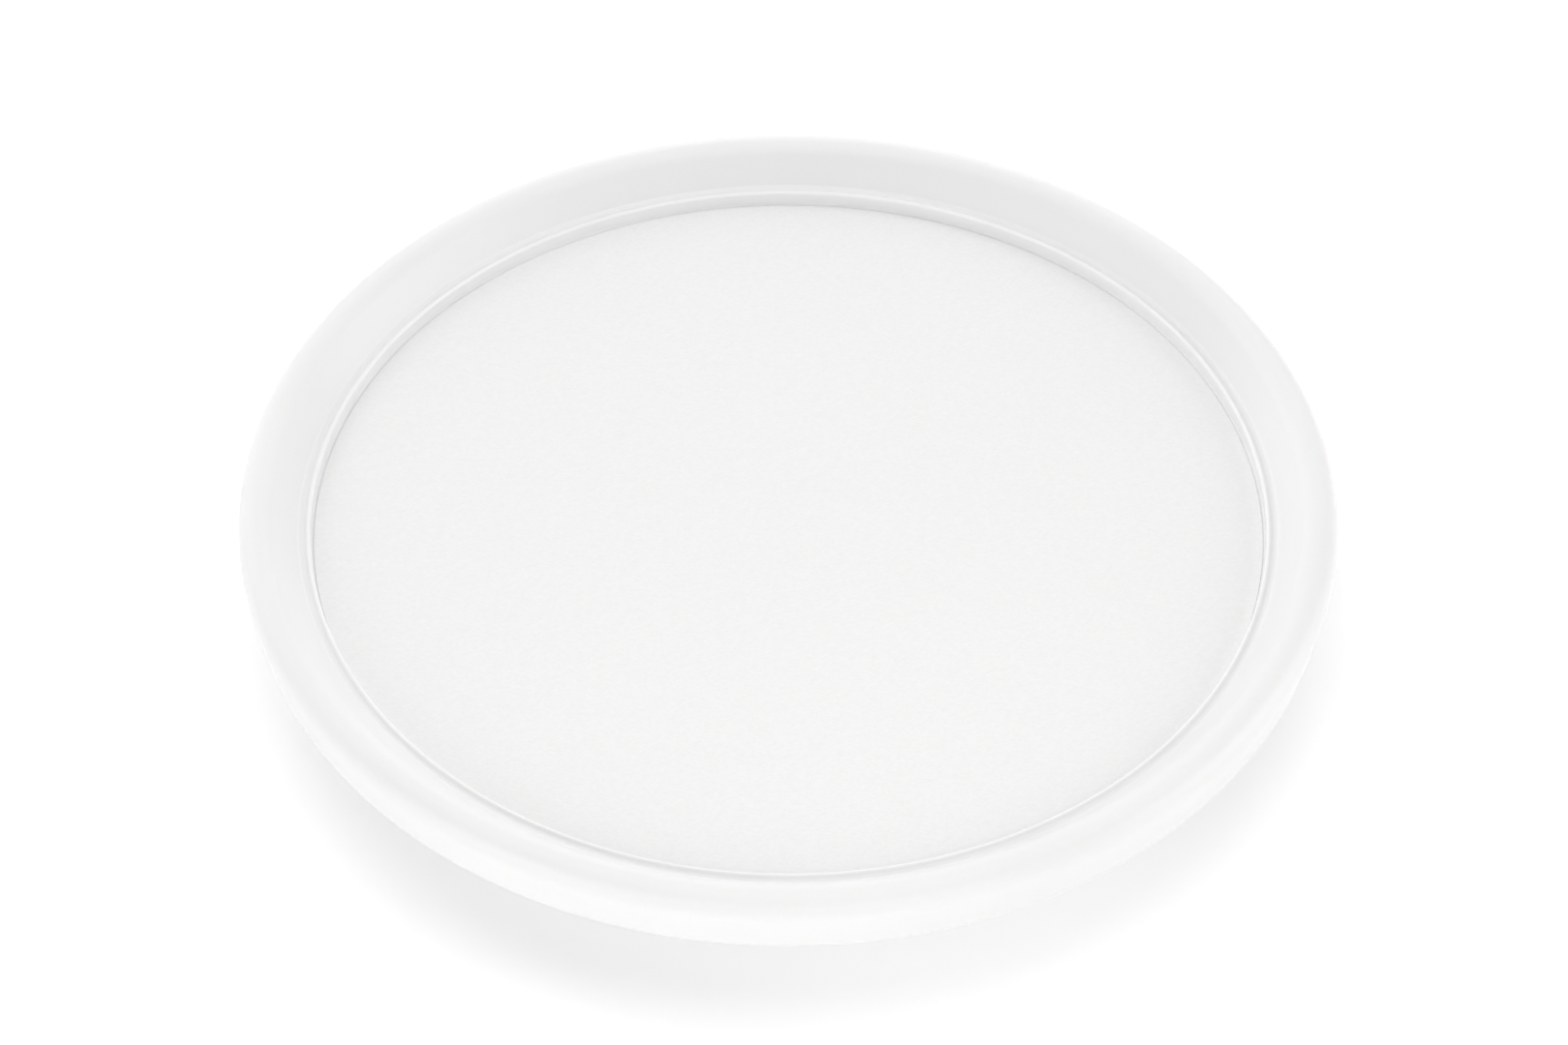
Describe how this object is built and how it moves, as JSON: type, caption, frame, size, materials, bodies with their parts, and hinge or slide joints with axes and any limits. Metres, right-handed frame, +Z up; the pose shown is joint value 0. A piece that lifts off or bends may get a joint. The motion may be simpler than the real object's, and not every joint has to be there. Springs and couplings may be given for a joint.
{
  "type": "lazy susan turntable",
  "caption": "Round white kitchen turntable: a recessed tray with a rolled rim and a non-slip mat that spins on a ring of steel balls over a low ribbed base with rubber feet.",
  "frame": {"origin": "on the surface the feet stand on, at the centre line that the tray turns about", "axes": "+Z up along the turning axis; +X through the first foot and the first ball"},
  "size_m": [0.267, 0.267, 0.0383],
  "materials": {
    "tray": "satin moulded plastic",
    "mat": "matt, finely grained, non-slip",
    "base": "matt moulded plastic",
    "race": "turned zinc-plated steel",
    "ball": "polished bearing steel",
    "cage": "natural acetal",
    "bush": "natural acetal",
    "washer": "zinc-plated steel",
    "screw": "zinc-plated steel",
    "cap": "matt moulded plastic",
    "foot": "matt grey rubber"
  },
  "bodies": {
    "base": {"base": "base", "lower_race": "race", "pivot_bush": "bush", "screw_cap": "cap", "foot_1": "foot", "foot_2": "foot", "foot_3": "foot", "foot_4": "foot", "foot_5": "foot", "foot_6": "foot"},
    "cage": {"ball_cage": "cage"},
    "tray": {"tray": "tray", "floor_mat": "mat", "upper_race": "race", "pivot_screw": "screw", "thrust_washer": "washer"},
    "ball_01": {"ball_01": "ball"},
    "ball_02": {"ball_02": "ball"},
    "ball_03": {"ball_03": "ball"},
    "ball_04": {"ball_04": "ball"},
    "ball_05": {"ball_05": "ball"},
    "ball_06": {"ball_06": "ball"},
    "ball_07": {"ball_07": "ball"},
    "ball_08": {"ball_08": "ball"},
    "ball_09": {"ball_09": "ball"},
    "ball_10": {"ball_10": "ball"},
    "ball_11": {"ball_11": "ball"},
    "ball_12": {"ball_12": "ball"}
  },
  "joints": [
    {"name": "tray_spin", "type": "hinge", "parent": "base", "child": "tray", "pos_m": [0, 0, 0.0155], "axis": [0, 0, 1], "continuous": true},
    {"name": "cage_spin", "type": "hinge", "parent": "base", "child": "cage", "pos_m": [0, 0, 0.0155], "axis": [0, 0, 1], "continuous": true},
    {"name": "ball_roll_01", "type": "hinge", "parent": "cage", "child": "ball_01", "pos_m": [0.062, 0, 0.0155], "axis": [1, 0, 0], "continuous": true},
    {"name": "ball_roll_02", "type": "hinge", "parent": "cage", "child": "ball_02", "pos_m": [0.05369, 0.031, 0.0155], "axis": [0.866, 0.5, 0], "continuous": true},
    {"name": "ball_roll_03", "type": "hinge", "parent": "cage", "child": "ball_03", "pos_m": [0.031, 0.05369, 0.0155], "axis": [0.5, 0.866, 0], "continuous": true},
    {"name": "ball_roll_04", "type": "hinge", "parent": "cage", "child": "ball_04", "pos_m": [0, 0.062, 0.0155], "axis": [0, 1, 0], "continuous": true},
    {"name": "ball_roll_05", "type": "hinge", "parent": "cage", "child": "ball_05", "pos_m": [-0.031, 0.05369, 0.0155], "axis": [-0.5, 0.866, 0], "continuous": true},
    {"name": "ball_roll_06", "type": "hinge", "parent": "cage", "child": "ball_06", "pos_m": [-0.05369, 0.031, 0.0155], "axis": [-0.866, 0.5, 0], "continuous": true},
    {"name": "ball_roll_07", "type": "hinge", "parent": "cage", "child": "ball_07", "pos_m": [-0.062, 0, 0.0155], "axis": [-1, 0, 0], "continuous": true},
    {"name": "ball_roll_08", "type": "hinge", "parent": "cage", "child": "ball_08", "pos_m": [-0.05369, -0.031, 0.0155], "axis": [-0.866, -0.5, 0], "continuous": true},
    {"name": "ball_roll_09", "type": "hinge", "parent": "cage", "child": "ball_09", "pos_m": [-0.031, -0.05369, 0.0155], "axis": [-0.5, -0.866, 0], "continuous": true},
    {"name": "ball_roll_10", "type": "hinge", "parent": "cage", "child": "ball_10", "pos_m": [0, -0.062, 0.0155], "axis": [0, -1, 0], "continuous": true},
    {"name": "ball_roll_11", "type": "hinge", "parent": "cage", "child": "ball_11", "pos_m": [0.031, -0.05369, 0.0155], "axis": [0.5, -0.866, 0], "continuous": true},
    {"name": "ball_roll_12", "type": "hinge", "parent": "cage", "child": "ball_12", "pos_m": [0.05369, -0.031, 0.0155], "axis": [0.866, -0.5, 0], "continuous": true}
  ],
  "couplings": [
    {"joint": "cage_spin", "follows": "tray_spin", "ratio": 0.5},
    {"joint": "ball_roll_01", "follows": "tray_spin", "ratio": -9.7638},
    {"joint": "ball_roll_02", "follows": "tray_spin", "ratio": -9.7638},
    {"joint": "ball_roll_03", "follows": "tray_spin", "ratio": -9.7638},
    {"joint": "ball_roll_04", "follows": "tray_spin", "ratio": -9.7638},
    {"joint": "ball_roll_05", "follows": "tray_spin", "ratio": -9.7638},
    {"joint": "ball_roll_06", "follows": "tray_spin", "ratio": -9.7638},
    {"joint": "ball_roll_07", "follows": "tray_spin", "ratio": -9.7638},
    {"joint": "ball_roll_08", "follows": "tray_spin", "ratio": -9.7638},
    {"joint": "ball_roll_09", "follows": "tray_spin", "ratio": -9.7638},
    {"joint": "ball_roll_10", "follows": "tray_spin", "ratio": -9.7638},
    {"joint": "ball_roll_11", "follows": "tray_spin", "ratio": -9.7638},
    {"joint": "ball_roll_12", "follows": "tray_spin", "ratio": -9.7638}
  ]
}
